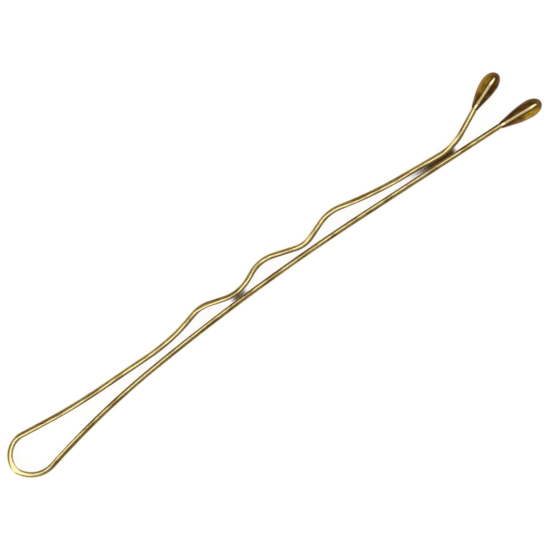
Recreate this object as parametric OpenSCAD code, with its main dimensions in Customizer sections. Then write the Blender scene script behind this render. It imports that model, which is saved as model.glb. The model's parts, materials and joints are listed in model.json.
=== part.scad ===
// Bobby pin: one springy flat wire, bent round into a straight leg and a wavy leg,
// with a bead of plastic over each end. It lies on its side, with the bow at the low end of X,
// the wavy leg towards +Y and the wire's width along Z. Lengths are in millimetres.

/* [Wire] */
// Thickness of the rolled wire, as seen from above
wire_thickness = 0.52; // [0.4:0.02:0.66]
// Width of the rolled wire, across the pin
wire_width = 1.4; // [1.1:0.05:1.7]
// Rounding at the edges of the outer face, measured across the wire's width
outer_rounding = 0.26; // [0.1:0.01:0.4]
// Rounding at the edges of the inner face, which faces the other leg
inner_rounding = 0.14; // [0.05:0.01:0.4]
// How far the crest of each edge lies off the middle, towards the inner face
crest_shift = 0.04; // [0:0.01:0.12]

/* [Pin] */
// Overall length, from the back of the bow to the end of the straight leg's bead
pin_length = 60; // [57:0.5:70]
// How far the wavy leg's bead ends behind the straight leg's bead
wavy_setback = 1.7; // [0.5:0.1:3]

/* [Bow] */
// Bend radius at the back of the bow
bow_back_radius = 1.05; // [0.8:0.05:1.5]
// Bend radius on the straight leg's side of the bow
bow_lower_radius = 2.7; // [2.3:0.05:3]
// Turn of that bend
bow_lower_turn = 75; // [65:1:85]
// Bend radius on the wavy leg's side of the bow
bow_upper_radius = 2.17; // [1.9:0.01:2.6]
// Part of the back bend that lies on the wavy leg's side
bow_upper_back_turn = 4; // [0:1:12]

/* [Straight leg] */
// Slope of the straight leg where it leaves the bow
leg_slope = 11.8; // [9:0.1:13]
// Bend radius of the leg's first stretch
leg_root_radius = 83.5; // [60:0.5:120]
// Turn of the leg's first stretch
leg_root_turn = 8.95; // [7:0.05:10]
// Bend radius of the leg's long middle stretch
leg_middle_radius = 220; // [150:5:300]
// Turn of the leg's long middle stretch
leg_middle_turn = 6.3; // [5:0.1:7]

/* [Wavy leg] */
// Where the leg eases out of the bow, from the back of the bow
root_x = 8; // [7:0.1:9]
// Gap between the legs there
root_gap = 1.83; // [1.5:0.01:2.2]
// Bend radius there
root_bend = 58; // [20:1:70]
// From there to the dip before the first crest
dip_run = 9.3; // [8:0.1:11]
// Gap between the legs at the dip
dip_gap = 0.59; // [0.4:0.01:0.8]
// Bend radius of the dip
dip_bend = 18; // [6:0.5:20]
// From the dip to the first crest
crest_1_run = 5.67; // [5:0.01:7]
// Gap between the legs under the first crest
crest_1_gap = 1.17; // [1:0.01:1.5]
// Bend radius of the first crest
crest_1_bend = 3.1; // [1:0.1:4]
// From the first crest to the first trough
trough_1_run = 3.64; // [3:0.01:5]
// Gap between the legs at the first trough
trough_1_gap = 0.31; // [0.1:0.01:0.6]
// Bend radius of the first trough
trough_1_bend = 4.2; // [1:0.1:5]
// From the first trough to the second crest
crest_2_run = 3.69; // [3:0.01:5]
// Gap between the legs under the second crest
crest_2_gap = 1.24; // [1:0.01:1.5]
// Bend radius of the second crest
crest_2_bend = 3.5; // [1:0.1:4]
// From the second crest to the second trough
trough_2_run = 4.08; // [3:0.01:5]
// Gap between the legs at the second trough
trough_2_gap = 0.29; // [0.1:0.01:0.6]
// Bend radius of the second trough
trough_2_bend = 2.65; // [1:0.05:4]
// From the second trough to the third crest
crest_3_run = 3.73; // [3:0.01:5]
// Gap between the legs under the third crest
crest_3_gap = 1.35; // [1:0.01:1.6]
// Bend radius of the third crest
crest_3_bend = 4.1; // [1:0.1:5]
// From the third crest to the easing bend in the long front run
ease_run = 4.4; // [4:0.1:5.5]
// Gap between the legs at that bend
ease_gap = 0.61; // [0.5:0.01:0.9]
// Radius of that bend
ease_bend = 37; // [10:1:50]
// From the nose, where the legs come closest, to the end of the wavy leg's bead
nose_to_end = 8.3; // [7.5:0.1:9.5]
// Gap between the legs at the nose
nose_gap = 0.26; // [0.05:0.01:0.6]
// Bend radius of the nose
nose_bend = 5.5; // [2:0.1:6]
// Slope of the flared end that guides the hair in
flare_slope = 24.7; // [15:0.1:35]

/* [Bead tips] */
// Thickness of a bead at its fattest, as seen from above
bead_thickness = 1.65; // [1.3:0.05:2.2]
// Depth of a bead at its fattest, across the pin
bead_depth = 1.8; // [1.75:0.05:2.4]
// Length of the straight leg's bead
straight_bead_length = 4.4; // [3.5:0.1:6]
// Length of the wavy leg's bead
wavy_bead_length = 4; // [3.5:0.1:6]
// Length of the round end beyond a bead's fattest place
bead_round_end = 1.25; // [0.8:0.05:1.6]
// Plastic between the end of the wire and the end of the bead
bead_end_wall = 0.9; // [0.6:0.05:1.4]
// Thickness of the coat where a bead begins
bead_coat = 0.06; // [0.03:0.01:0.12]
// How far the straight leg's bead sags away from the line of its wire
straight_bead_lean = -2.6; // [-5:0.1:2]
// How far the wavy leg's bead sags away from the line of its wire
wavy_bead_lean = -4; // [-7:0.1:2]
// How far the middle of the straight leg's bead bulges to its wire's outer side
straight_bead_bulge = 0.02; // [0:0.01:0.12]
// How far the middle of the wavy leg's bead bulges to its wire's outer side
wavy_bead_bulge = 0.1; // [0:0.01:0.12]
// Clearance between the wire and the socket in its bead
socket_clearance = 0.01; // [0.005:0.001:0.02]

/* [Flexing] */
// Length of wire from the bow to the next flexure, on both legs
root_section = 10; // [8:0.1:12]
// Length of wire from there to the last flexure, on both legs
middle_section = 19.6; // [18:0.1:21]
// Largest turn that one flexure takes
flex_angle = 5; // [2:0.5:10]
// Clearance left between two sections of wire at that turn
flex_clearance = 0.01; // [0.005:0.005:0.05]

/* [Hidden] */
wire_colour = [0.80, 0.62, 0.28];
bead_colour = [0.62, 0.42, 0.13];
slit = wire_thickness * tan(flex_angle / 2) + flex_clearance;

// A stretch of wire is [start point, heading, length, curvature], and curvature is positive to the left.
function along(h) = [cos(h), sin(h)];
function left_of(h) = [-sin(h), cos(h)];
function arc(p, h, r, turn) = [p, h, r * abs(turn) * PI / 180, sign(turn) / r];
function run(p, h, length) = [p, h, length, 0];
function heading_at(w, s) = w[1] + w[3] * s * 180 / PI;
function point_at(w, s) =
    w[3] == 0 ? w[0] + s * along(w[1])
    : w[0] + (left_of(w[1]) - left_of(heading_at(w, s))) / w[3];
function end_point(w) = point_at(w, w[2]);
function end_heading(w) = heading_at(w, w[2]);

// The bow starts at its rearmost point, which is at the origin's X, and goes both ways from there.
back = [wire_thickness / 2, 0];
lower_back = arc(back, -90, bow_back_radius, 90 + leg_slope - bow_lower_turn);
lower_side = arc(end_point(lower_back), end_heading(lower_back), bow_lower_radius, bow_lower_turn);
upper_back = arc(back, 90, bow_back_radius, -bow_upper_back_turn);
upper_start = end_point(upper_back);
upper_heading = end_heading(upper_back);

// The straight leg follows on from the lower side of the bow, in two gentle bends and a straight run.
leg_root = arc(end_point(lower_side), end_heading(lower_side), leg_root_radius, -leg_root_turn);
leg_middle = arc(end_point(leg_root), end_heading(leg_root), leg_middle_radius, -leg_middle_turn);
leg_end_heading = end_heading(leg_middle);
straight_neck_x = pin_length - straight_bead_length * cos(leg_end_heading + straight_bead_lean);
straight_in_bead = straight_bead_length - bead_end_wall;
leg_front = run(
    end_point(leg_middle), leg_end_heading,
    (straight_neck_x - end_point(leg_middle).x) / cos(leg_end_heading)
);
straight_neck = end_point(leg_front);
straight_leg = [leg_root, leg_middle, leg_front, run(straight_neck, leg_end_heading, straight_in_bead)];

// Height of the straight leg's middle line at a distance from the back of the bow
function arc_height(w, x) =
    let (centre = w[0] + left_of(w[1]) / w[3])
    centre.y + sqrt(pow(1 / w[3], 2) - pow(x - centre.x, 2));
function leg_height(x) =
    x < leg_middle[0].x ? arc_height(leg_root, x)
    : x < leg_front[0].x ? arc_height(leg_middle, x)
    : leg_front[0].y + (x - leg_front[0].x) * tan(leg_end_heading);

// A bend of the wavy leg is [x, height, side, radius]. A dip has side 1, a crest -1 and a corner 0.
// The wire's middle line passes a dip or a crest at just that height. A corner is rounded off later.
function bend(x, gap, side, radius) = [x, leg_height(x) + wire_thickness + gap, side, radius];
dip_x = root_x + dip_run;
crest_1_x = dip_x + crest_1_run;
trough_1_x = crest_1_x + trough_1_run;
crest_2_x = trough_1_x + crest_2_run;
trough_2_x = crest_2_x + trough_2_run;
crest_3_x = trough_2_x + crest_3_run;
ease_x = crest_3_x + ease_run;
nose_x = pin_length - wavy_setback - nose_to_end;
upper_centre = upper_start - bow_upper_radius * left_of(upper_heading);
wanted_bends = [
    bend(root_x, root_gap, 0, root_bend),
    bend(dip_x, dip_gap, 1, dip_bend),
    bend(crest_1_x, crest_1_gap, -1, crest_1_bend),
    bend(trough_1_x, trough_1_gap, 1, trough_1_bend),
    bend(crest_2_x, crest_2_gap, -1, crest_2_bend),
    bend(trough_2_x, trough_2_gap, 1, trough_2_bend),
    bend(crest_3_x, crest_3_gap, -1, crest_3_bend),
    bend(ease_x, ease_gap, 0, ease_bend),
    bend(nose_x, nose_gap, 1, nose_bend)
];

// Two neighbouring bends, one up and one down, have room for only so much radius between them.
bend_room = 0.98;
function share(a, b) =
    a[2] * b[2] >= 0 ? 1
    : let (run_x = b.x - a.x, rise = abs(b.y - a.y))
    bend_room * (run_x * run_x + rise * rise) / (2 * rise * (a[3] + b[3]));
function fitted(list, i) =
    let (
        b = list[i],
        before = i > 0 ? share(list[i - 1], b) : 1,
        after = i < len(list) - 1 ? share(b, list[i + 1]) : 1
    )
    [b.x, b.y, b[2], b[3] * min(1, before, after)];
bends = [for (i = [0:len(wanted_bends) - 1]) fitted(wanted_bends, i)];

// Each bend is a circle [centre, signed radius] that the wire wraps round. A corner starts as a point.
circles = concat(
    [[upper_centre, -bow_upper_radius]],
    [for (b = bends) [[b.x, b.y + b[2] * b[3]], b[2] * b[3]]]
);
function tangent_heading(a, b) =
    let (d = b[0] - a[0])
    atan2(d.y, d.x) - asin(max(-1, min(1, (b[1] - a[1]) / norm(d))));
headings = concat(
    [upper_heading],
    [for (i = [0:len(circles) - 2]) tangent_heading(circles[i], circles[i + 1])],
    [flare_slope]
);
function touch(c, h) = c[0] - c[1] * left_of(h);
function straight_length(i) =
    let (h = headings[i + 1])
    norm(touch(circles[i + 1], h) - touch(circles[i], h));

// A corner turns into a circle that touches both of its runs, no longer than the runs allow.
corner_share = 0.9;
function rounded(i) =
    circles[i][1] != 0 ? circles[i]
    : let (
        turn = headings[i + 1] - headings[i],
        room = corner_share * min(straight_length(i - 1), straight_length(i)) / tan(abs(turn) / 2),
        radius = sign(turn) * min(bends[i - 1][3], room),
        before = circles[i][0] - abs(radius) * tan(abs(turn) / 2) * along(headings[i])
    )
    [before + radius * left_of(headings[i]), radius];
wraps = [for (i = [0:len(circles) - 1]) rounded(i)];
function wrap_arc(i) =
    [touch(wraps[i], headings[i]), headings[i], wraps[i][1] * (headings[i + 1] - headings[i]) * PI / 180,
        1 / wraps[i][1]];
function wrap_run(i) =
    let (p = touch(wraps[i], headings[i + 1]), q = touch(wraps[i + 1], headings[i + 1]))
    run(p, headings[i + 1], norm(q - p));

// The wavy leg: the bow's upper side, each bend and the run that follows it, and the flared end
upper_side = wrap_arc(0);
last = len(wraps) - 1;
flare_start = touch(wraps[last], flare_slope);
wavy_end_x = pin_length - wavy_setback;
wavy_neck_run =
    (wavy_end_x - wavy_bead_length * cos(flare_slope + wavy_bead_lean) - flare_start.x) / cos(flare_slope);
wavy_neck = flare_start + wavy_neck_run * along(flare_slope);
wavy_in_bead = wavy_bead_length - bead_end_wall;
wavy_leg = concat(
    [wrap_run(0)],
    [for (i = [1:last - 1]) each [wrap_arc(i), wrap_run(i)]],
    [wrap_arc(last), run(flare_start, flare_slope, wavy_neck_run), run(wavy_neck, flare_slope, wavy_in_bead)]
);

// Length of a leg up to the start of its stretch number i
function length_before(leg, i) = i == 0 ? 0 : length_before(leg, i - 1) + leg[i - 1][2];
function leg_length(leg) = length_before(leg, len(leg));

// Outline of a bead: half its thickness or depth at a share of the way along it
swell_power = 1.15;
function bead_half(u, length, neck, widest) =
    let (s = u * length, widest_at = length - bead_round_end)
    s < widest_at ? neck + (widest - neck) * pow(sin(90 * s / widest_at), swell_power)
    : widest * sqrt(max(0, 1 - pow((s - widest_at) / bead_round_end, 2)));

// Rings round a bead. They start square like the wire, and turn oval where the bead is fattest.
// The middle of a bead bulges to the left of its heading, and its neck and tip stay in line.
bead_rings = 24;
bead_sides = 32;
ring_spacing_power = 0.9;
square_power = 4;
oval_power = 2;
function bead_share(i) = pow(sin(90 * i / bead_rings), ring_spacing_power);
function oval(angle, power) = let (c = cos(angle)) sign(c) * pow(abs(c), 2 / power);
bulge_power = 0.5;
function bead_ring(u, length, bulge) =
    let (
        middle = bulge * pow(sin(180 * u), bulge_power),
        half_y = bead_half(u, length, wire_thickness / 2 + bead_coat, bead_thickness / 2),
        half_z = bead_half(u, length, wire_width / 2 + bead_coat, bead_depth / 2),
        power = square_power + (oval_power - square_power) * min(1, u * length / (length - bead_round_end))
    )
    [for (k = [0:bead_sides - 1])
        let (a = 360 * k / bead_sides)
        [u * length, middle + half_y * oval(a, power), half_z * oval(a - 90, power)]];
function bead_points(length, bulge) = concat(
    [for (i = [0:bead_rings - 1]) each bead_ring(bead_share(i), length, bulge)],
    [[length, 0, 0]]
);
bead_faces = concat(
    [[for (k = [0:bead_sides - 1]) k]],
    [for (i = [0:bead_rings - 2], k = [0:bead_sides - 1])
        let (a = i * bead_sides, n = (k + 1) % bead_sides)
        [a + k, a + bead_sides + k, a + bead_sides + n, a + n]],
    [for (k = [0:bead_sides - 1])
        let (a = (bead_rings - 1) * bead_sides)
        [a + k, bead_rings * bead_sides, a + (k + 1) % bead_sides]]
);

// The origin is under the middle of the whole pin, at the level that it lies on.
function turned(p, h, origin) = origin + p.x * along(h) + p.y * left_of(h);
straight_bead_heading = leg_end_heading + straight_bead_lean;
wavy_bead_heading = flare_slope + wavy_bead_lean;
wavy_bead_points = bead_points(wavy_bead_length, wavy_bead_bulge);
straight_bead_points = bead_points(straight_bead_length, -straight_bead_bulge);
pin_top = max([for (p = wavy_bead_points) turned(p, wavy_bead_heading, wavy_neck).y]);
pin_bottom = min([for (p = straight_bead_points) turned(p, straight_bead_heading, straight_neck).y]);
middle_height = max(bead_depth, wire_width) / 2;
origin = [-pin_length / 2, -(pin_top + pin_bottom) / 2, middle_height];

// Section of the rolled wire, [across the thickness, across the width], with its inner face at the
// low side. Each edge is two quarters of an ellipse that meet at its crest.
edge_steps = 4;
function edge(half_thick, half_wide) = concat(
    [for (k = [edge_steps:-1:1])
        let (a = 90 * k / edge_steps)
        [-crest_shift - (half_thick - crest_shift) * sin(a), half_wide - inner_rounding * (1 - cos(a))]],
    [for (k = [0:edge_steps])
        let (a = 90 * k / edge_steps)
        [-crest_shift + (half_thick + crest_shift) * sin(a), half_wide - outer_rounding * (1 - cos(a))]]
);
function section(clearance) =
    let (upper = edge(wire_thickness / 2 + clearance, wire_width / 2 + clearance))
    concat(upper, [for (i = [len(upper) - 1:-1:0]) [upper[i].x, -upper[i].y]]);

// Poses [point, heading] along a leg between two lengths, with one every few degrees of a bend
bend_step = 4;
shortest = 0.001;
function stretch_poses(w, from, to) =
    let (steps = max(1, ceil(abs(w[3]) * (to - from) * 180 / PI / bend_step)))
    [for (j = [0:steps - 1])
        let (s = from + (to - from) * j / steps)
        [point_at(w, s), heading_at(w, s)]];
function pose_at(leg, s, i = 0) =
    s <= leg[i][2] || i == len(leg) - 1 ? [point_at(leg[i], s), heading_at(leg[i], s)]
    : pose_at(leg, s - leg[i][2], i + 1);
function poses(leg, from, to) = concat(
    [for (i = [0:len(leg) - 1])
        let (start = length_before(leg, i), a = max(from - start, 0), b = min(to - start, leg[i][2]))
        each b - a > shortest ? stretch_poses(leg[i], a, b) : []],
    [pose_at(leg, to)]
);
function reversed(list) = [for (i = [len(list) - 1:-1:0]) [list[i][0], list[i][1] + 180]];
function root_poses(leg) = poses(leg, slit / 2, root_section - slit / 2);
function middle_poses(leg) = poses(leg, root_section + slit / 2, root_section + middle_section - slit / 2);
function front_poses(leg) = poses(leg, root_section + middle_section + slit / 2, leg_length(leg));

// Wire carried along a list of poses, as one closed shell of triangles, with its inner face on the right
module wire(path, clearance = 0) {
    outline = section(clearance);
    n = len(outline);
    rings = len(path);
    points = [for (w = path, q = outline) let (p = w[0] + q.x * left_of(w[1])) [p.x, p.y, q.y]];
    sides = [for (i = [0:rings - 2], k = [0:n - 1])
        let (a = i * n + k, b = i * n + (k + 1) % n)
        each [[a, b, b + n], [a, b + n, a + n]]];
    caps = [[for (k = [n - 1:-1:0]) k], [for (k = [0:n - 1]) (rings - 1) * n + k]];
    polyhedron(points = points, faces = concat(sides, caps), convexity = 6);
}

module wire_piece(path) {
    color(wire_colour) translate(origin) wire(path);
}

module bow() {
    lower = poses([lower_back, lower_side], 0, lower_back[2] + lower_side[2] - slit / 2);
    upper = poses([upper_back, upper_side], 0, upper_back[2] + upper_side[2] - slit / 2);
    wire_piece(concat(reversed(lower), [for (i = [1:len(upper) - 1]) upper[i]]));
}

module straight_leg_root() { wire_piece(reversed(root_poses(straight_leg))); }
module straight_leg_middle() { wire_piece(reversed(middle_poses(straight_leg))); }
module straight_leg_front() { wire_piece(reversed(front_poses(straight_leg))); }
module wavy_leg_root() { wire_piece(root_poses(wavy_leg)); }
module wavy_leg_crimps() { wire_piece(middle_poses(wavy_leg)); }
module wavy_leg_front() { wire_piece(front_poses(wavy_leg)); }

// The blind socket that the wire's end sits in runs from outside a bead's neck to its end wall.
mouth = 0.5;
function socket_poses(neck, wire_heading, length) = [
    [neck - mouth * along(wire_heading), wire_heading],
    [neck + (length - bead_end_wall + socket_clearance) * along(wire_heading), wire_heading]
];

// A bead over the end of a leg
module bead(neck, bead_heading, points, socket) {
    color(bead_colour)
        translate(origin)
            difference() {
                translate([neck.x, neck.y, 0])
                    rotate([0, 0, bead_heading])
                        polyhedron(points = points, faces = bead_faces, convexity = 4);
                wire(socket, socket_clearance);
            }
}

module straight_tip_bead() {
    bead(straight_neck, straight_bead_heading, straight_bead_points,
        reversed(socket_poses(straight_neck, leg_end_heading, straight_bead_length)));
}

module wavy_tip_bead() {
    bead(wavy_neck, wavy_bead_heading, wavy_bead_points,
        socket_poses(wavy_neck, flare_slope, wavy_bead_length));
}

bow();
straight_leg_root();
straight_leg_middle();
straight_leg_front();
wavy_leg_root();
wavy_leg_crimps();
wavy_leg_front();
straight_tip_bead();
wavy_tip_bead();
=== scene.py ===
# Bobby pin: gold-lacquered flat spring wire with a dipped bead on each tip, lying on its side.
# Lengths here are in millimetres and angles in degrees, until a mesh or a lamp is made in metres.
import json
import math

import bpy
import numpy as np
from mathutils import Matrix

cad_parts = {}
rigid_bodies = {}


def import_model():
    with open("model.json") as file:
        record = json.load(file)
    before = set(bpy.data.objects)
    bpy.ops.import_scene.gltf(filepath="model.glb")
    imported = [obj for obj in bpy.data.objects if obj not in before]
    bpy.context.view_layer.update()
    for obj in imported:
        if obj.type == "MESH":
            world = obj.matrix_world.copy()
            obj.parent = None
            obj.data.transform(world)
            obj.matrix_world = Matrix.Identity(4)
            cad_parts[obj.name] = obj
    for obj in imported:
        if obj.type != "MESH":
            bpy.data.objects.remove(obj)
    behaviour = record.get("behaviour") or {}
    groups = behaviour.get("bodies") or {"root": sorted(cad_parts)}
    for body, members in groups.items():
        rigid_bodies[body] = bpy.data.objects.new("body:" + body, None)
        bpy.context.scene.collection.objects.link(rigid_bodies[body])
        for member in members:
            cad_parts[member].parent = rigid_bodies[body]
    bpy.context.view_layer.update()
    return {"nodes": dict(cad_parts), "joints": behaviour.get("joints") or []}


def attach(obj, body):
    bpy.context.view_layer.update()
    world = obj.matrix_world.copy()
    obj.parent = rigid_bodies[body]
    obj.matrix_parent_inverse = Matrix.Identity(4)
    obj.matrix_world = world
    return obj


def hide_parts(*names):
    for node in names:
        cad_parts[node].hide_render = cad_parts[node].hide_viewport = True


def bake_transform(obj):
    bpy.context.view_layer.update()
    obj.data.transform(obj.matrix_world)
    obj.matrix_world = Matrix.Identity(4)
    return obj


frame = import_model()
mm = 0.001
print("frame loaded:", len(frame["nodes"]), "nodes")

# The photograph looks straight down on the pin, which runs from the lower left to the upper right.
photo = {
    "side": 550,                  # pixels, both ways
    "pixelsPerMm": 10.742,        # at the middle of the wire's width
    "pinTurn": 36.5,              # from the image's right to the pin's length
    "centre": (0.488, -0.401),    # place under the middle of the image
    "height": 650.0,              # of the lens over the floor
    "sensor": 36.0,
    "clip": (0.01, 20),           # nearest and furthest that the lens sees, in metres
}


def makeCamera():
    # focal length = sensor * distance to the middle of the wire's width / width of the view there
    data = bpy.data.cameras.new("photoCamera")
    data.sensor_width = photo["sensor"]
    view = photo["side"] / photo["pixelsPerMm"]
    data.lens = photo["sensor"] * (photo["height"] - middleHeight) / view
    data.clip_start, data.clip_end = photo["clip"]
    camera = bpy.data.objects.new("photoCamera", data)
    camera.location = (photo["centre"][0] * mm, photo["centre"][1] * mm, photo["height"] * mm)
    camera.rotation_euler = (0, 0, math.radians(-photo["pinTurn"]))
    bpy.context.scene.collection.objects.link(camera)
    bpy.context.scene.camera = camera


wire = {
    "thickness": 0.52,
    "width": 1.4,
    "outerRounding": 0.26,    # of the outer face's edges, measured across the width
    "innerRounding": 0.14,    # of the inner face's edges
    "crestShift": 0.04,       # from the middle of the thickness to the crest, towards the inner face
    "pinLength": 60.0,
    "quarterSteps": 12,       # points on each quarter of an edge
    "flatShares": [-0.96, -0.8, -0.4, 0.0, 0.4, 0.8, 0.96],    # points across a flat face
    "waviness": 0.004,        # share of slow swelling and thinning left by the rolls
    "swells": [(1.7, 0.4), (3.1, 2.2), (0.9, 4.1)],    # (length, phase)
    "ringSpacing": 0.08,
    "ringTurn": 1.8,          # largest turn between two rings
    "shortest": 0.001,        # stretch that gets rings
    "sharpAngle": 45,         # between faces whose edge stays sharp
}
# turns and radii of the bow and the straight leg, from the back of the bow
bow = {"backRadius": 1.05, "lowerRadius": 2.7, "lowerTurn": 75, "upperRadius": 2.17, "upperBackTurn": 4}
straight = {"slope": 11.8, "rootRadius": 83.5, "rootTurn": 8.95, "middleRadius": 220, "middleTurn": 6.3}
wavy = {
    # Each bend is (distance from the one before, gap between the legs, side, radius).
    # Side 1 is a dip, -1 a crest and 0 a corner that is rounded off.
    "bends": [
        (8.0, 1.83, 0, 58), (9.3, 0.59, 1, 18),
        (5.67, 1.17, -1, 3.1), (3.64, 0.31, 1, 4.2),
        (3.69, 1.24, -1, 3.5), (4.08, 0.29, 1, 2.65),
        (3.73, 1.35, -1, 4.1), (4.4, 0.61, 0, 37),
    ],
    "nose": (0.26, 5.5),      # gap and radius where the legs come closest
    "noseToEnd": 8.3,
    "setback": 1.7,           # of this leg's bead behind the other
    "flare": 24.7,
    "bendRoom": 0.98,         # share of the room that two neighbouring bends may fill
    "cornerShare": 0.9,       # share of the shorter run beside a corner that its rounding may take
}
bead = {
    "thickness": 1.65, "depth": 1.8, "roundEnd": 1.25, "coat": 0.06,
    "endWall": 0.9,           # from the wire's end to the tip
    "swellPower": 1.15,       # how slowly the bead swells, from 1 for a sine
    "squarePower": 4.0, "ovalPower": 2.0,    # superellipse of the neck and of the round part
    "lipLength": 0.12,        # over which the coat rises from the wire
    "tuck": 0.005,            # of the coat's first ring under the wire's surface
    "unevenness": 0.012, "lumpRate": 1.9,    # share of the thickness, and radians for each millimetre
    "rings": 96, "sides": 72, "lipRings": 8,
    "roundingLength": 1.6,    # over which the section turns from the wire's into an oval
    "neckShare": 0.35,        # how evenly the rings are spread, against closer towards the tip
    # A bead leans from the wire's heading, bulges to the left of its own, and has its top drawn that way.
    "straight": {"length": 4.4, "lean": -2.6, "bulge": -0.02, "drawn": 0.03, "lumpPhase": 0.6},
    "wavy": {"length": 4.0, "lean": -4.0, "bulge": 0.1, "drawn": -0.09, "lumpPhase": 2.3},
}


def along(angle):
    return np.array([np.cos(angle), np.sin(angle)])


def leftOf(angle):
    return np.array([-np.sin(angle), np.cos(angle)])


# A stretch of wire is (start, heading, length, curvature), and curvature is positive to the left.
def arc(start, heading, radius, turn):
    return start, heading, radius * abs(turn), math.copysign(1 / radius, turn)


def endOf(stretch):
    # end = start + (left of the first heading - left of the last heading) / curvature
    start, heading, length, curve = stretch
    if curve == 0:
        return start + length * along(heading), heading
    ahead = heading + curve * length
    return start + (leftOf(heading) - leftOf(ahead)) / curve, ahead


def chain(start, heading, bends):
    stretches = []
    for radius, turn in bends:
        stretches.append(arc(start, heading, radius, math.radians(turn)))
        start, heading = endOf(stretches[-1])
    return stretches


def reverse(stretch):
    start, heading = endOf(stretch)
    return start, heading + math.pi, stretch[2], -stretch[3]


def arcHeight(stretch, x):
    # height of a gentle arc at x = height of its centre + sqrt(radius^2 - (x - the centre's x)^2)
    start, heading, _, curve = stretch
    centre = start + leftOf(heading) / curve
    return centre[1] + math.sqrt(curve ** -2 - (x - centre[0]) ** 2)


def toBead(start, heading, tipX, own):
    # the last straight run, which ends inside the bead, and the bead's neck and heading
    beadHeading = heading + math.radians(own["lean"])
    neckX = tipX - own["length"] * math.cos(beadHeading)
    freeRun = (neckX - start[0]) / math.cos(heading)
    run = (start, heading, freeRun + own["length"] - bead["endWall"], 0)
    return run, (start + freeRun * along(heading), beadHeading)


def straightSide():
    # lower side of the bow, two gentle bends, and the straight run into the bead
    turned = [
        (bow["backRadius"], 90 + straight["slope"] - bow["lowerTurn"]),
        (bow["lowerRadius"], bow["lowerTurn"]),
        (straight["rootRadius"], -straight["rootTurn"]),
        (straight["middleRadius"], -straight["middleTurn"]),
    ]
    stretches = chain(np.array([wire["thickness"] / 2, 0]), math.radians(-90), turned)
    run, neck = toBead(*endOf(stretches[-1]), wire["pinLength"], bead["straight"])
    return stretches + [run], neck


def legHeight(stretches, x):
    root, middle, front = stretches[2:]
    if x < middle[0][0]:
        return arcHeight(root, x)
    if x < front[0][0]:
        return arcHeight(middle, x)
    return front[0][1] + (x - front[0][0]) * math.tan(front[1])


def tangentHeading(a, b):
    # heading of the run from circle a to circle b, each (centre, signed radius):
    # heading from centre to centre - asin((radius of b - radius of a) / distance of the centres)
    across = b[0] - a[0]
    return math.atan2(across[1], across[0]) - math.asin((b[1] - a[1]) / math.hypot(*across))


def touch(circle, heading):
    return circle[0] - circle[1] * leftOf(heading)


def fittedBends(lower):
    # The bends' places. A dip and a crest side by side have their radii drawn in to
    # share = bend room * (run^2 + rise^2) / (2 rise (radius + radius)), where it is below 1.
    gap, radius = wavy["nose"]
    noseX = wire["pinLength"] - wavy["setback"] - wavy["noseToEnd"]
    places, x = [], 0
    for step, bendGap, side, bendRadius in wavy["bends"]:
        x += step
        places.append((x, bendGap, side, bendRadius))
    places.append((noseX, gap, 1, radius))
    bends = [(x, legHeight(lower, x) + wire["thickness"] + g, side, r) for x, g, side, r in places]

    def share(a, b):
        if a[2] * b[2] >= 0:
            return 1
        run, rise = b[0] - a[0], abs(b[1] - a[1])
        return wavy["bendRoom"] * (run * run + rise * rise) / (2 * rise * (a[3] + b[3]))

    fitted = []
    for i, b in enumerate(bends):
        before = share(bends[i - 1], b) if i > 0 else 1
        after = share(b, bends[i + 1]) if i < len(bends) - 1 else 1
        fitted.append((*b[:3], b[3] * min(1, before, after)))
    return fitted


def wavySide(lower):
    # upper side of the bow, the crimps, the nose and the flared end, as circles joined by tangents
    back = arc(np.array([wire["thickness"] / 2, 0]), math.radians(90), bow["backRadius"],
               math.radians(-bow["upperBackTurn"]))
    start, startHeading = endOf(back)
    bends = fittedBends(lower)
    circles = [(start - bow["upperRadius"] * leftOf(startHeading), -bow["upperRadius"])]
    circles += [(np.array([x, y + side * r]), side * r) for x, y, side, r in bends]
    headings = [startHeading]
    headings += [tangentHeading(a, b) for a, b in zip(circles, circles[1:])]
    headings.append(math.radians(wavy["flare"]))

    def straightLength(i):
        h = headings[i + 1]
        return math.hypot(*(touch(circles[i + 1], h) - touch(circles[i], h)))

    # A corner's circle touches both runs, radius * tan(half its turn) away from the corner.
    wraps = []
    for i, circle in enumerate(circles):
        if circle[1] == 0:
            turn = headings[i + 1] - headings[i]
            half = math.tan(abs(turn) / 2)
            room = wavy["cornerShare"] * min(straightLength(i - 1), straightLength(i)) / half
            radius = math.copysign(min(bends[i - 1][3], room), turn)
            before = circle[0] - abs(radius) * half * along(headings[i])
            circle = (before + radius * leftOf(headings[i]), radius)
        wraps.append(circle)

    stretches = [back]
    for i, circle in enumerate(wraps):
        turn = headings[i + 1] - headings[i]
        stretches.append((touch(circle, headings[i]), headings[i], circle[1] * turn, 1 / circle[1]))
        p = touch(circle, headings[i + 1])
        if i < len(wraps) - 1:
            q = touch(wraps[i + 1], headings[i + 1])
            stretches.append((p, headings[i + 1], math.hypot(*(q - p)), 0))
    run, neck = toBead(p, headings[-1], wire["pinLength"] - wavy["setback"], bead["wavy"])
    return stretches + [run], neck


middleHeight = max(bead["depth"], wire["width"]) / 2
lowerSide, straightNeck = straightSide()
upperSide, wavyNeck = wavySide(lowerSide)
makeCamera()
print("path of the wire worked out")

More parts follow.
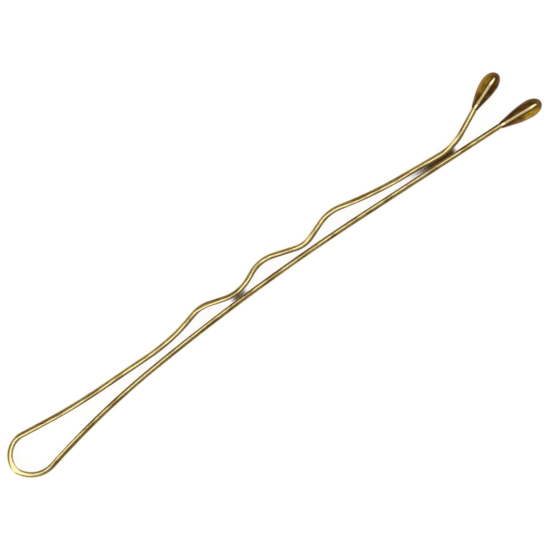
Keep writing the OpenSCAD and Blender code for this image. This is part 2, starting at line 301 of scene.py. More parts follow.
# The whole wire is one path from the straight leg's end round the bow to the wavy leg's end.
# Place 0 on it is the back of the bow, and the straight leg's places are below 0.
wholePath = [reverse(stretch) for stretch in reversed(lowerSide)] + upperSide
pathStarts = np.array([stretch[0] for stretch in wholePath], float)
pathHeadings = np.array([stretch[1] for stretch in wholePath])
pathLengths = np.array([stretch[2] for stretch in wholePath])
pathCurves = np.array([stretch[3] for stretch in wholePath])
lowerLength = sum(stretch[2] for stretch in lowerSide)
pathPlaces = np.concatenate([[0], np.cumsum(pathLengths)[:-1]]) - lowerLength
wavyEnd = pathLengths.sum() - lowerLength
straightBow = lowerSide[0][2] + lowerSide[1][2]
wavyBow = upperSide[0][2] + upperSide[1][2]


def pathAt(places):
    # point = arc's start + (left of its heading - left of the heading here) / curvature, or start + run
    i = np.clip(np.searchsorted(pathPlaces, places, side="right") - 1, 0, len(wholePath) - 1)
    local = places - pathPlaces[i]
    heading = pathHeadings[i] + pathCurves[i] * local
    curve = np.where(pathCurves[i] == 0, 1, pathCurves[i])
    bent = (leftOf(pathHeadings[i]) - leftOf(heading)) / curve
    run = local * along(pathHeadings[i])
    return pathStarts[i] + np.where(pathCurves[i] == 0, run, bent).T, heading


hinges = {joint["name"]: joint for joint in frame["joints"]}

# The frame's place of the bow's hinge on the straight side gives the shift from the path to the frame.
bowHinge = np.array(hinges["straight_leg_flex_at_bow"]["pos_m"]) / mm
pathShift = bowHinge[:2] - pathAt(np.array([-straightBow]))[0][0]

# how far the rolls left the crest from its own line, outwards
crest = {
    "wavy": 0.1, "straight": -0.05, "bow": 0.07,    # where each climbs or turns most
    "climbSpan": 30, "bowSpan": 90,                 # turns of the heading over which these come and go
    # Each slow wave along a leg is (height, length, place of its top, place where it is full).
    "wavyWaves": [(0.055, 18.7, 16.0, 4.0), (0.04, 4.3, 18.5, 17.0)],
    "straightWaves": [(-0.042, 19.5, 5.0, 4.0)],
    "bowFlatness": 0.32, "bowFlatReach": 4.0,       # of the edges round the back of the bow
}


def wireSection():
    # Closed outline, counter-clockwise from the inner face's foot, as (across the thickness, up across the
    # width, share of the crest's swing that a point takes). Each edge is two quarters of an ellipse:
    # across = crest + reach sin(a), up = half width - rounding (1 - cos(a)), share = 1 - sin(a)
    halfThick, halfWide, top = wire["thickness"] / 2, wire["width"] / 2, -wire["crestShift"]
    a = np.linspace(0, math.pi / 2, wire["quarterSteps"] + 1)
    share = 1 - np.sin(a)
    innerAcross = top - (halfThick + top) * np.sin(a)
    innerUp = halfWide - wire["innerRounding"] * (1 - np.cos(a))
    outerAcross = top + (halfThick - top) * np.sin(a)
    outerUp = halfWide - wire["outerRounding"] * (1 - np.cos(a))
    flat = np.array(wire["flatShares"])
    still = np.zeros(len(flat))
    return np.concatenate([
        np.column_stack([innerAcross, -innerUp, share])[::-1],
        np.column_stack([outerAcross, -outerUp, share])[1:],
        np.column_stack([still + halfThick, outerUp[-1] * flat, still]),
        np.column_stack([outerAcross, outerUp, share])[::-1],
        np.column_stack([innerAcross, innerUp, share])[1:],
        np.column_stack([still - halfThick, -innerUp[-1] * flat, still]),
    ])


section = wireSection()


def crestWaves(distance, waves):
    # sum of height cos(360 degrees * (distance - top) / length), each grown by (distance / full)^2 up to 1
    return sum(
        height * np.cos(2 * math.pi * (distance - top) / length) * np.clip(distance / full, 0, 1) ** 2
        for height, length, top, full in waves)


def crestSwing(places, heading):
    # The crest lies further out where the wavy leg climbs and further in on the straight leg's root:
    # swing = widest sin(180 degrees climb / span) + slow waves - bow sin(180 degrees climb / bow span)
    straightLeg, distance = places < 0, abs(places)
    climb = np.degrees(heading) - 180 * straightLeg
    rising = np.sin(math.pi * np.clip(climb / crest["climbSpan"], 0, 1))
    turning = np.sin(math.pi * np.clip(-climb / crest["bowSpan"], 0, 1)) * straightLeg
    onWavy = crest["wavy"] * rising + crestWaves(distance, crest["wavyWaves"])
    onStraight = crest["straight"] * rising + crestWaves(distance, crest["straightWaves"])
    return np.where(straightLeg, onStraight, onWavy) + crest["bow"] * turning


def ringPlaces(start, end):
    # places of the rings, evenly along each stretch and closer where it bends more
    places = []
    for first, length, curve in zip(pathPlaces, pathLengths, pathCurves):
        a, b = max(first, start), min(first + length, end)
        if b - a > wire["shortest"]:
            steps = max((b - a) / wire["ringSpacing"], abs(curve) * (b - a) / math.radians(wire["ringTurn"]))
            places.append(np.linspace(a, b, math.ceil(steps) + 1)[:-1])
    return np.append(np.concatenate(places), end)


def meshObject(name, points, faces, straightened):
    mesh = bpy.data.meshes.new(name)
    mesh.from_pydata((points * mm).tolist(), [], faces)
    mesh.shade_smooth()
    mesh.set_sharp_from_angle(angle=math.radians(wire["sharpAngle"]))
    places = mesh.attributes.new("straightened", "FLOAT_VECTOR", "POINT")
    places.data.foreach_set("vector", straightened.astype(np.float32).ravel())
    piece = bpy.data.objects.new(name, mesh)
    bpy.context.scene.collection.objects.link(piece)
    return piece


def loftFaces(rings, around):
    # quads between neighbouring rings of a grid that is closed around, with their faces outwards
    i, k = np.meshgrid(np.arange(rings - 1) * around, np.arange(around), indexing="ij")
    n = (k + 1) % around
    return np.stack([i + k, i + n, i + around + n, i + around + k], axis=-1).reshape(-1, 4).tolist()


def fanFaces(ring, pole, forward):
    # triangles from a ring to a pole, facing forward or back along the loft
    n = np.roll(ring, -1)
    pair = (ring, n) if forward else (n, ring)
    return np.stack([*pair, np.full(len(ring), pole)], axis=-1).tolist()


def loftPiece(name, grid, straightened, poles, straightPoles):
    # closed mesh from a (rings, around) grid of points and a pole at each end, with each point's place
    # on the piece as if it were straight: (along, across, up)
    rings, around = grid.shape[:2]
    firstRing, lastRing = np.arange(around), np.arange(around) + (rings - 1) * around
    firstPole, lastPole = rings * around, rings * around + 1
    faces = loftFaces(rings, around)
    faces += fanFaces(firstRing, firstPole, False) + fanFaces(lastRing, lastPole, True)
    points = np.concatenate([grid.reshape(-1, 3), poles])
    places = np.concatenate([straightened.reshape(-1, 3), straightPoles])
    return meshObject(name, points, faces, places)


def wirePiece(name, start, end):
    # point = path(place) + across * left of the heading + up, with the section (across, up) carried on it.
    # Edges are flatter near the bow's back: flatness = most * sin(90 degrees (1 - place / reach))^2
    places = ringPlaces(start, end)
    centre, heading = pathAt(places)
    slow = sum(np.sin(places / length + phase) for length, phase in wire["swells"]) * wire["waviness"]
    swing = crestSwing(places, heading)
    across = (section[None, :, 0] + section[None, :, 2] * swing[:, None]) * (1 + slow[:, None])
    nearBack = np.clip(1 - abs(places) / crest["bowFlatReach"], 0, 1)
    flatness = crest["bowFlatness"] * np.sin(math.pi / 2 * nearBack) ** 2
    depth = (wire["width"] / 2 - abs(section[None, :, 1])) * (1 - flatness[:, None])
    up = np.sign(section[None, :, 1]) * (wire["width"] / 2 - depth) * (1 - slow[:, None] / 2)
    flat = centre[:, None, :] + across[..., None] * leftOf(heading).T[:, None, :] + pathShift
    grid = np.concatenate([flat, up[..., None] + middleHeight], axis=-1)
    straightened = np.stack(np.broadcast_arrays(places[:, None], across, up), axis=-1)
    poles = np.column_stack([centre[[0, -1]] + pathShift, [middleHeight] * 2])
    straightPoles = np.array([[start, 0, 0], [end, 0, 0]])
    return loftPiece(name, grid, straightened, poles, straightPoles)


# The wire is drawn in six lengths. Each reaches over one hinge and hides the two parts that meet there, and
# they meet where nothing bends.
flexing = {
    "sections": [10.0, 19.6],      # lengths of wire between the hinges, on both legs
    "spans": [2.1, 4.0, 6.0],      # the bend's reach before and after each hinge
}


def wireLengths():
    pieces = []
    sides = (("straight", -1, straightBow, lowerLength), ("wavy", 1, wavyBow, wavyEnd))
    for side, sign, first, last in sides:
        at = np.cumsum([first] + flexing["sections"])
        cuts = [0, (at[0] + at[1]) / 2, (at[1] + at[2]) / 2, last]
        for i, where in enumerate(("bow", "root", "middle")):
            a, b = sorted((sign * cuts[i], sign * cuts[i + 1]))
            piece = wirePiece(f"{side}_wire_at_{where}", a, b)
            joint = hinges[f"{side}_leg_flex_at_{where}"]
            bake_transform(piece)
            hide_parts(joint["parent"], joint["child"])
            pieces.append(piece)
    return pieces


wirePieces = wireLengths()
print("wire made:", sum(len(piece.data.polygons) for piece in wirePieces), "faces")


def ovalRing(power, sides):
    # superellipse: (sign(c) |c|^(2/power), sign(s) |s|^(2/power)), one row for each power
    a = 2 * math.pi * (np.arange(sides) + 0.5) / sides
    c, s = np.cos(a), np.sin(a)
    return np.sign(c) * abs(c) ** (2 / power), np.sign(s) * abs(s) ** (2 / power)


def beadRings(length):
    # distances of the rings from the neck, after the lip's: length (share t + (1 - share) sin(90 degrees t))
    t = np.linspace(0, 1, bead["rings"])
    s = length * (bead["neckShare"] * t + (1 - bead["neckShare"]) * np.sin(math.pi / 2 * t))[:-1]
    lip = np.linspace(0, bead["lipLength"], bead["lipRings"])[:-1]
    return np.concatenate([lip, s[s > bead["lipLength"]]])[:, None]


def beadPiece(name, neck, heading, own):
    # half size = neck + (widest - neck) sin(90 degrees s / swell)^power, then a quarter of an ellipse to the
    # tip. Its middle is bulge sqrt(hump) to the left and its top drawn * hump, with hump = sin(180 degrees
    # s / length).
    length = own["length"]
    halfWire = np.array([wire["thickness"], wire["width"]]) / 2
    widest = np.array([bead["thickness"], bead["depth"]]) / 2
    swell = length - bead["roundEnd"]
    s = beadRings(length)
    lip = np.clip(1 - s / bead["lipLength"], 0, 1)
    coat = bead["coat"] * np.sqrt(1 - lip ** 2) - bead["tuck"] * lip
    swollen = np.clip(s / swell, 0, 1)
    grown = np.sin(math.pi / 2 * swollen) ** bead["swellPower"]
    half = halfWire + coat + (widest - halfWire - bead["coat"]) * grown
    half = half * np.sqrt(1 - np.clip((s - swell) / bead["roundEnd"], 0, 1) ** 2)
    rounding = np.sqrt(np.clip(s / bead["roundingLength"], 0, 1))
    power = bead["squarePower"] + (bead["ovalPower"] - bead["squarePower"]) * rounding
    ovalAcross, ovalUp = ovalRing(power, bead["sides"])
    turn = np.arctan2(ovalUp, ovalAcross)
    lump = np.sin(bead["lumpRate"] * s + own["lumpPhase"]) * np.cos(turn + 2 * own["lumpPhase"])
    across = half[:, :1] * ovalAcross * (1 + bead["unevenness"] * lump * swollen)
    up = half[:, 1:] * ovalUp
    hump = np.sin(math.pi * s / length)
    aside = across + own["bulge"] * np.sqrt(hump) + own["drawn"] * hump * (1 - abs(ovalAcross) ** 2)
    flat = neck + pathShift + s[..., None] * along(heading) + aside[..., None] * leftOf(heading)
    grid = np.concatenate([flat, up[..., None] + middleHeight], axis=-1)
    straightened = np.stack(np.broadcast_arrays(s, across, up), axis=-1)
    ends = neck + pathShift + np.outer([0, length], along(heading))
    poles = np.column_stack([ends, [middleHeight] * 2])
    straightPoles = np.array([[0, 0, 0], [length, 0, 0]])
    return loftPiece(name, grid, straightened, poles, straightPoles)


straightBead = beadPiece("straight_dipped_bead", *straightNeck, bead["straight"])
wavyBead = beadPiece("wavy_dipped_bead", *wavyNeck, bead["wavy"])
for piece, side in ((straightBead, "straight"), (wavyBead, "wavy")):
    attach(piece, f"{side}_leg_front")
    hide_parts(f"{side}_tip_bead")
print("beads made:", len(straightBead.data.polygons) + len(wavyBead.data.polygons), "faces")


class Nodes:
    # short way to add and join the nodes of a material, a group or the world
    def __init__(self, tree):
        self.tree = tree

    def add(self, kind, **settings):
        made = self.tree.nodes.new(kind)
        for key, value in settings.items():
            setattr(made, key, value)
        return made

    def feed(self, made, sockets):
        # sockets are given by name or by number, each with a value or with the socket it is linked to
        for key, value in sockets.items():
            if isinstance(value, bpy.types.NodeSocket):
                self.tree.links.new(value, made.inputs[key])
            else:
                made.inputs[key].default_value = value
        return made

    def maths(self, operation, *values):
        made = self.add("ShaderNodeMath", operation=operation)
        self.feed(made, dict(enumerate(values)))
        return made.outputs[0]

    def ramp(self, value, low, high, start=0.0, end=1.0):
        # smooth step from start, at low, to end, at high
        made = self.add("ShaderNodeMapRange", interpolation_type="SMOOTHSTEP")
        self.feed(made, {0: value, 1: low, 2: high, 3: start, 4: end})
        return made.outputs[0]

    def mix(self, share, a, b):
        # sockets 6 and 7 are the node's two colours
        made = self.add("ShaderNodeMix", data_type="RGBA")
        self.feed(made, {0: share, 6: a, 7: b})
        return made.outputs[2]


def emptyTree(owner):
    owner.use_nodes = True
    owner.node_tree.nodes.clear()
    return Nodes(owner.node_tree)


def newMaterial(name):
    material = bpy.data.materials.new(name)
    nodes = emptyTree(material)
    shader = nodes.add("ShaderNodeBsdfPrincipled")
    nodes.feed(nodes.add("ShaderNodeOutputMaterial"), {"Surface": shader.outputs[0]})
    return material, nodes, shader


def newGroup(name, inputs, outputs):
    tree = bpy.data.node_groups.new(name, "ShaderNodeTree")
    for direction, sockets in (("INPUT", inputs), ("OUTPUT", outputs)):
        for label, kind in sockets.items():
            tree.interface.new_socket(label, in_out=direction, socket_type=f"NodeSocket{kind}")
    nodes = Nodes(tree)
    return tree, nodes, nodes.add("NodeGroupInput").outputs, nodes.add("NodeGroupOutput")


def mottleGroup():
    # noise on the straightened piece, as a value and as a mask that runs from 0 at Low to 1 at High
    tree, nodes, given, out = newGroup("mottle", {
        "Stretch": "Vector", "Detail": "Float", "Roughness": "Float", "Low": "Float", "High": "Float",
    }, {"Value": "Float", "Mask": "Float"})
    attribute = nodes.add("ShaderNodeAttribute", attribute_name="straightened")
    stretched = nodes.add("ShaderNodeVectorMath", operation="MULTIPLY")
    nodes.feed(stretched, {0: attribute.outputs["Vector"], 1: given["Stretch"]})
    noise = nodes.feed(nodes.add("ShaderNodeTexNoise"), {
        "Vector": stretched.outputs[0], "Scale": 1.0,
        "Detail": given["Detail"], "Roughness": given["Roughness"],
    })
    value = noise.outputs[0]
    nodes.feed(out, {"Value": value, "Mask": nodes.ramp(value, given["Low"], given["High"])})
    return tree


mottle = mottleGroup()


def mottled(nodes, stretch, low, high, detail, roughness):
    placed = nodes.add("ShaderNodeGroup")
    placed.node_tree = mottle
    nodes.feed(placed, {
        "Stretch": stretch, "Detail": detail, "Roughness": roughness, "Low": low, "High": high,
    })
    return placed.outputs["Value"], placed.outputs["Mask"]


def straightenedParts(nodes):
    # along the piece, across it and up, in millimetres
    attribute = nodes.add("ShaderNodeAttribute", attribute_name="straightened")
    split = nodes.add("ShaderNodeSeparateXYZ")
    nodes.feed(split, {0: attribute.outputs["Vector"]})
    return split.outputs[0], split.outputs[1], split.outputs[2]


lacquer = {
    "bright": (1.0, 0.81, 0.355, 1),      # painted highlight on the rolled crest
    "dull": (0.43, 0.268, 0.068, 1),      # where the crest's painted highlight is dimmed
    "flank": (0.37, 0.22, 0.02, 1),       # painted shade down the rounded edges, with streaks of deep and clouds of olive
    "deep": (0.15, 0.075, 0.008, 1),
    "olive": (0.33, 0.27, 0.03, 1),
    "bowHighlight": (0.87, 0.77, 0.36, 1),        # painted highlight round the back of the bow
    # painted glints on the straight leg's crest
    "glintColour": (1.0, 0.86, 0.50, 1),
    "face": (0.83, 0.60, 0.22, 1),        # the wire's flat faces
    "edgeTint": (0.72, 0.52, 0.25, 1),
    # where each begins and is full: heights over the wire's middle, and places along it
    "crestRise": (0.54, 0.69), "faceRise": (0.52, 0.43),
    "straightRise": (-3.0, -8.0), "bowRise": (4.0, 1.1),
    # shares of the dimmed highlight, in patches and all over the straight leg besides, and of the others
    "dullShare": 0.65, "straightDull": 0.25, "oliveShare": 0.6, "nickShare": 0.7, "bowShare": 0.9,
    "faceStreaks": 0.2,
    # Each pattern is (stretch along, across and up, where its mask is 0 and 1, detail, roughness).
    "streaks": ((0.7, 6.0, 6.0), 0.40, 0.60, 4.0, 0.6),
    "patches": ((0.45, 1.6, 1.6), 0.0, 1.0, 3.0, 0.55),
    "oliveClouds": ((0.9, 2.2, 2.2), 0.5, 0.75, 2.0, 0.55),
    "dimPatches": ((0.6, 1.8, 1.8), 0.46, 0.61, 4.0, 0.6),
    "glintSpecks": ((7.0, 9.0, 9.0), 0.64, 0.72, 2.0, 0.55),
    "nicks": ((1.7, 7.0, 7.0), 0.62, 0.70, 3.0, 0.55),
    "fineGrain": ((3.0, 30.0, 30.0), 0.0, 1.0, 3.0, 0.6),
    "roughness": (0.15, 0.30), "roughSpan": (0.7, 1.3),    # over this span of streaks and patches together
    "coatWeight": 0.1, "coatRoughness": 0.06, "bump": 0.35, "bumpDepth": 0.01,
}


def goldLacquer():
    material, nodes, shader = newMaterial("goldLacquer")
    place, _, up = straightenedParts(nodes)
    height = nodes.maths("ABSOLUTE", up)
    onCrest = nodes.ramp(height, *lacquer["crestRise"])
    onFace = nodes.ramp(height, *lacquer["faceRise"])
    onStraight = nodes.ramp(place, *lacquer["straightRise"])
    onBow = nodes.ramp(nodes.maths("ABSOLUTE", place), *lacquer["bowRise"])
    streaks, streakMask = mottled(nodes, *lacquer["streaks"])
    patches, _ = mottled(nodes, *lacquer["patches"])
    _, oliveMask = mottled(nodes, *lacquer["oliveClouds"])
    _, dimPatches = mottled(nodes, *lacquer["dimPatches"])
    _, glintSpecks = mottled(nodes, *lacquer["glintSpecks"])
    _, nicks = mottled(nodes, *lacquer["nicks"])
    grain, _ = mottled(nodes, *lacquer["fineGrain"])
    # painted shade down the rounded edges, streaked darker and clouded olive
    flank = nodes.mix(streakMask, lacquer["flank"], lacquer["deep"])
    flank = nodes.mix(nodes.maths("MULTIPLY", oliveMask, lacquer["oliveShare"]), flank, lacquer["olive"])
    # painted highlight on the crest, dimmed in patches and along the straight leg, with nicks in the lacquer
    allOver = nodes.maths("MULTIPLY", onStraight, lacquer["straightDull"])
    paintedHighlight = nodes.mix(nodes.maths("MULTIPLY_ADD", dimPatches, lacquer["dullShare"], allOver),
                      lacquer["bright"], lacquer["dull"])
    # painted glints on the straight leg's crest
    paintedHighlight = nodes.mix(nodes.maths("MULTIPLY", glintSpecks, onStraight), paintedHighlight, lacquer["glintColour"])
    paintedHighlight = nodes.mix(nodes.maths("MULTIPLY", nicks, lacquer["nickShare"]), paintedHighlight, lacquer["deep"])
    # painted highlight on the crest over the painted shade down the edges
    colour = nodes.mix(onCrest, flank, paintedHighlight)
    # painted highlight round the back of the bow
    colour = nodes.mix(nodes.maths("MULTIPLY", onBow, lacquer["bowShare"]), colour, lacquer["bowHighlight"])
    face = nodes.mix(nodes.maths("MULTIPLY", streakMask, lacquer["faceStreaks"]),
                     lacquer["face"], lacquer["flank"])
    colour = nodes.mix(onFace, colour, face)
    rough = nodes.ramp(nodes.maths("ADD", streaks, patches), *lacquer["roughSpan"], *lacquer["roughness"])
    bump = nodes.feed(nodes.add("ShaderNodeBump"), {
        "Strength": lacquer["bump"], "Distance": lacquer["bumpDepth"] * mm, "Height": grain,
    })
    nodes.feed(shader, {
        "Base Color": colour, "Metallic": 1.0, "Roughness": rough, "Normal": bump.outputs[0],
        "Specular Tint": lacquer["edgeTint"], "Coat Weight": lacquer["coatWeight"],
        "Coat Roughness": lacquer["coatRoughness"],
    })
    return material


dip = {
    "paintedHighlight": (0.97, 0.80, 0.46, 1),       # painted highlight in a narrow band along the top and the underside
    "brown": (0.082, 0.033, 0.003, 1),
    "tan": (0.18, 0.088, 0.008, 1),       # clouds in the brown
    "reddishReflection": (0.30, 0.115, 0.010, 1),      # reddish part of the painted reflection, from where the paler half begins
    "reflectionOchre": (0.50, 0.305, 0.022, 1),     # painted reflection that makes one half paler
    "edgeTint": (0.55, 0.42, 0.28, 1),
    # degrees round from the top: where the painted highlight ends and is full, and where the painted
    # reflection begins and is full
    "highlightTurn": (11.0, 5.0), "reflectionTurn": (12.0, 24.0),
    # distances from the bead's own places below, between which each comes or goes
    "reddishRise": (-1.4, -0.4), "reflectionRise": (0.0, 0.6), "reflectionFall": (0.0, -0.5),
    "highlightFall": (0.1, -0.15), "tipGlint": (-1.0, -0.5),
    "neckGlint": (0.8, 0.3),              # from the neck
    # shares without and with the clouds, the drift or the breaks, and of the painted highlight away from its
    # ends
    "reddishShare": (0.25, 0.8), "driftShare": 0.6, "brownShare": 0.6, "breakShare": (1.0, 0.6),
    "highlightShare": 0.5,
    # Each pattern is (stretch along, across and up, where its mask is 0 and 1, detail, roughness).
    "clouds": ((1.1, 2.6, 2.6), 0.45, 0.62, 4.0, 0.6),
    "fineClouds": ((2.4, 5.0, 5.0), 0.48, 0.66, 4.0, 0.6),
    "drift": ((0.9, 1.5, 1.5), 0.35, 0.65, 2.0, 0.55),
    "breaks": ((2.2, 5.0, 5.0), 0.40, 0.60, 3.0, 0.55),
    "grain": ((3.0, 5.0, 5.0), 0.0, 1.0, 4.0, 0.55),
    "roughness": (0.05, 0.16), "roughSpan": (0.3, 0.7),    # over this span of the grain
    "metalShare": 0.3,                    # of the coat beside the painted highlight
    "metalFull": 0.6,                     # share of the painted highlight at which the metal's is 1
    "coatWeight": 0.12, "coatRoughness": 0.03, "specularLevel": 0.12, "bump": 0.2, "bumpDepth": 0.02,
    # The painted reflection's paler half is on side 1 for the left of the bead's heading, -1 for the right.
    "straight": {"side": -1, "reflectionStrength": 1.0, "from": 1.9, "to": 4.1, "highlightEnd": 4.0},
    "wavy": {"side": 1, "reflectionStrength": 0.55, "from": 1.2, "to": 3.7, "highlightEnd": 3.5},
}


def dippedGold(name, own):
    material, nodes, shader = newMaterial(name)
    place, across, up = straightenedParts(nodes)
    around = nodes.maths("DEGREES", nodes.maths("ARCTAN2", across, nodes.maths("ABSOLUTE", up)))
    _, clouds = mottled(nodes, *dip["clouds"])
    _, fineClouds = mottled(nodes, *dip["fineClouds"])
    _, drift = mottled(nodes, *dip["drift"])
    _, breaks = mottled(nodes, *dip["breaks"])
    grain, _ = mottled(nodes, *dip["grain"])

    def near(edge, span, start=0.0):
        # from start to 1 between two distances from a place on the bead
        return nodes.ramp(place, edge + span[0], edge + span[1], start)

    # painted reflection on one side of the bead: a reddish tone from just before its start to the tip, and a
    # paler ochre over its reach
    reflectionSide = nodes.ramp(nodes.maths("MULTIPLY", around, own["side"]), *dip["reflectionTurn"])
    reddishReflection = nodes.maths("MULTIPLY", reflectionSide, near(own["from"], dip["reddishRise"]))
    reddishReflection = nodes.maths("MULTIPLY", reddishReflection, nodes.ramp(fineClouds, 0, 1, *dip["reddishShare"]))
    reach = nodes.maths("MULTIPLY", near(own["from"], dip["reflectionRise"]), near(own["to"], dip["reflectionFall"]))
    reflectionStrength = nodes.ramp(drift, 0, 1, own["reflectionStrength"], dip["driftShare"] * own["reflectionStrength"])
    reflectionOchre = nodes.maths("MULTIPLY", nodes.maths("MULTIPLY", reflectionSide, reach), reflectionStrength)
    colour = nodes.mix(clouds, dip["brown"], dip["tan"])
    colour = nodes.mix(reddishReflection, colour, dip["reddishReflection"])
    colour = nodes.mix(reflectionOchre, colour, dip["reflectionOchre"])
    colour = nodes.mix(nodes.maths("MULTIPLY", fineClouds, dip["brownShare"]), colour, dip["brown"])
    # painted highlight in a narrow band along the top and the underside, stronger near the tip and the neck
    # and broken in patches
    glint = nodes.maths("MAXIMUM", near(own["highlightEnd"], dip["tipGlint"], dip["highlightShare"]),
                        near(0, dip["neckGlint"]))
    glint = nodes.maths("MULTIPLY", glint, nodes.ramp(breaks, 0, 1, *dip["breakShare"]))
    paintedHighlight = nodes.maths("MULTIPLY", nodes.ramp(nodes.maths("ABSOLUTE", around), *dip["highlightTurn"]),
                        near(own["highlightEnd"], dip["highlightFall"]))
    paintedHighlight = nodes.maths("MULTIPLY", paintedHighlight, glint)
    colour = nodes.mix(paintedHighlight, colour, dip["paintedHighlight"])
    bump = nodes.feed(nodes.add("ShaderNodeBump"), {
        "Strength": dip["bump"], "Distance": dip["bumpDepth"] * mm, "Height": grain,
    })
    nodes.feed(shader, {
        "Base Color": colour, "Metallic": nodes.ramp(paintedHighlight, 0, dip["metalFull"], dip["metalShare"], 1.0),
        "Roughness": nodes.ramp(grain, *dip["roughSpan"], *dip["roughness"]), "Normal": bump.outputs[0],
        "Specular Tint": dip["edgeTint"], "Specular IOR Level": dip["specularLevel"],
        "Coat Weight": dip["coatWeight"], "Coat Roughness": dip["coatRoughness"],
    })
    return material


wireFinish = goldLacquer()
for piece in wirePieces:
    piece.data.materials.append(wireFinish)
straightBead.data.materials.append(dippedGold("straightDip", dip["straight"]))
wavyBead.data.materials.append(dippedGold("wavyDip", dip["wavy"]))
print("finishes made")

# The floor, the lamp and the cards are in metres.
studio = {
    "floorSide": 8.0, "floorColour": 0.97,
    "floorKept": 0.18, "floorGlow": 0.86,       # what the lens sees of its real light, and its white
    "slotOpen": (0.38, 0.41),                   # openness where the floor has painted shade and where it is white
    "slotReach": 0.8, "slotSamples": 128,       # millimetres to the furthest wall that counts
    # painted shade in the slots, tinted brown
    "slotShade": (0.046, 0.024, 0.006, 1),
    "slotSpans": (-31, 0.5, 12, 31),            # millimetres: two spans along the pin with painted shade in its slots
    "slotHalf": 5,                              # and their half width
    "worldFill": 0.74, "worldSeen": 1.0,
    "lampHeight": 0.72, "lampRadiance": 1.15,
    "lampHalfWidth": 16, "lampReach": (-75, 56),    # angles seen from the pin
    "lampTurn": 5.5,                            # from the pin's length
    "tentRadius": 0.95, "tentLength": 7.0, "tentGrey": 0.2,
    "tentFrom": 2, "tentTo": 90, "tentSteps": 24,
}


def grey(level):
    return (level, level, level, 1)


def lightPathShare(nodes):
    # 1 for what the lens, a gloss or glass sees straight on
    path = nodes.add("ShaderNodeLightPath")
    seen = nodes.maths("MAXIMUM", path.outputs["Is Camera Ray"], path.outputs["Is Glossy Ray"])
    return nodes.maths("MAXIMUM", seen, path.outputs["Is Transmission Ray"])


def stageObject(name, points, faces, materials):
    mesh = bpy.data.meshes.new(name)
    mesh.from_pydata(points.tolist(), [], faces.tolist())
    for material in materials:
        mesh.materials.append(material)
    made = bpy.data.objects.new(name, mesh)
    bpy.context.scene.collection.objects.link(made)
    return made


def floorMaterial(name, withSlots):
    # The lens and gloss see a white floor with painted shade in narrow slots, over a share of its real light
    # and shadow.
    material = bpy.data.materials.new(name)
    nodes = emptyTree(material)
    seen = lightPathShare(nodes)
    kept = nodes.ramp(seen, 0, 1, studio["floorColour"], studio["floorKept"])
    bright = grey(studio["floorGlow"])
    if withSlots:
        # painted shade in narrow slots, where ambient occlusion finds walls close by
        openness = nodes.add("ShaderNodeAmbientOcclusion", samples=studio["slotSamples"])
        nodes.feed(openness, {"Distance": studio["slotReach"] * mm})
        openShare = nodes.ramp(openness.outputs["AO"], *studio["slotOpen"])
        kept = nodes.mix(openShare, studio["slotShade"], kept)
        bright = nodes.mix(openShare, studio["slotShade"], bright)
    shade = nodes.feed(nodes.add("ShaderNodeBsdfDiffuse"), {"Color": kept})
    glow = nodes.feed(nodes.add("ShaderNodeEmission"), {"Color": bright, "Strength": seen})
    both = nodes.feed(nodes.add("ShaderNodeAddShader"), {0: shade.outputs[0], 1: glow.outputs[0]})
    nodes.feed(nodes.add("ShaderNodeOutputMaterial"), {"Surface": both.outputs[0]})
    return material


def makeFloor():
    # Flat pieces in three rows of five. Painted shade in slots is worked out on the second and fourth of the
    # middle row.
    half, reach = studio["floorSide"] / 2, studio["slotHalf"] * mm
    xs = np.array([-half, *np.array(studio["slotSpans"]) * mm, half])
    ys = np.array([-half, -reach, reach, half])
    x, y = np.meshgrid(xs, ys)
    corners = np.column_stack([x.ravel(), y.ravel(), np.zeros(x.size)])
    row = len(xs)
    first = np.add.outer(np.arange(len(ys) - 1) * row, np.arange(row - 1)).ravel()
    faces = np.stack([first, first + 1, first + row + 1, first + row], axis=-1)
    materials = [floorMaterial("paleFloor", False), floorMaterial("floorUnderPin", True)]
    floor = stageObject("paleFloor", corners, faces, materials)
    for i in (row, row + 2):
        floor.data.polygons[i].material_index = 1


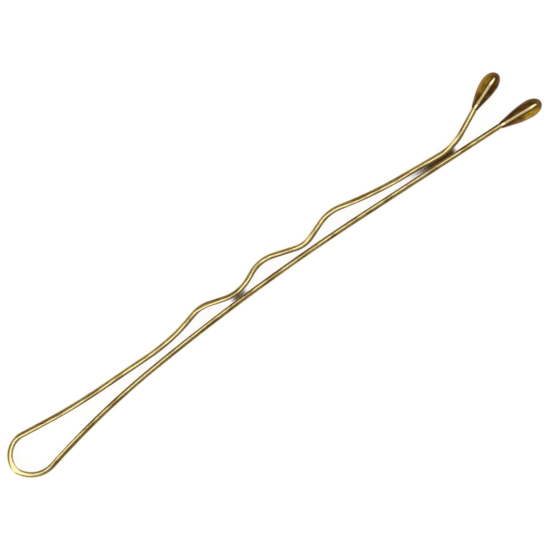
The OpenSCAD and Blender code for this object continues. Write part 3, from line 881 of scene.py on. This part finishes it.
def makeTent():
    # Dark cards on both sides, parallel to the lamp and seen by gloss alone. Together they are a half pipe
    # over the lamp: (along, side * radius cos(angle), radius sin(angle)), turned with it.
    angles = np.radians(np.linspace(studio["tentFrom"], studio["tentTo"], studio["tentSteps"] + 1))
    profile = studio["tentRadius"] * along(angles)
    turn = math.radians(studio["lampTurn"])
    halfLength = studio["tentLength"] / 2
    material = bpy.data.materials.new("darkCard")
    nodes = emptyTree(material)
    glow = nodes.feed(nodes.add("ShaderNodeEmission"), {"Color": grey(studio["tentGrey"]), "Strength": 1.0})
    nodes.feed(nodes.add("ShaderNodeOutputMaterial"), {"Surface": glow.outputs[0]})
    n, i = len(angles), np.arange(len(angles) - 1)
    faces = np.stack([i, i + 1, i + n + 1, i + n], axis=-1)
    for side in (-1, 1):
        ends = [np.column_stack([np.full(n, x), side * profile[0], profile[1]])
                for x in (-halfLength, halfLength)]
        points = np.concatenate(ends)
        points[:, :2] = points[:, :1] * along(turn) + points[:, 1:2] * leftOf(turn)
        card = stageObject("darkCard", points, faces, [material])
        card.visible_camera = card.visible_diffuse = card.visible_shadow = card.visible_transmission = False


def makeLamp():
    # one long strip over the pin: size = height * tan(angle), power = radiance * pi * area
    height = studio["lampHeight"]
    data = bpy.data.lights.new("stripLamp", "AREA")
    data.shape = "RECTANGLE"
    back, front = (height * math.tan(math.radians(angle)) for angle in studio["lampReach"])
    turn = math.radians(studio["lampTurn"])
    data.size = front - back
    data.size_y = 2 * height * math.tan(math.radians(studio["lampHalfWidth"]))
    data.energy = studio["lampRadiance"] * math.pi * data.size * data.size_y
    lamp = bpy.data.objects.new("stripLamp", data)
    lamp.location = (*((back + front) / 2 * along(turn)), height)
    lamp.rotation_euler = (0, 0, turn)
    lamp.visible_camera = False
    bpy.context.scene.collection.objects.link(lamp)


def makeWorld():
    world = bpy.data.worlds.new("paleWorld")
    bpy.context.scene.world = world
    nodes = emptyTree(world)
    strength = nodes.ramp(lightPathShare(nodes), 0, 1, studio["worldFill"], studio["worldSeen"])
    background = nodes.feed(nodes.add("ShaderNodeBackground"), {"Color": grey(1), "Strength": strength})
    nodes.feed(nodes.add("ShaderNodeOutputWorld"), {"Surface": background.outputs[0]})


makeFloor()
makeTent()
makeLamp()
makeWorld()
bpy.context.scene.view_settings.view_transform = "Standard"
print("floor and light made")
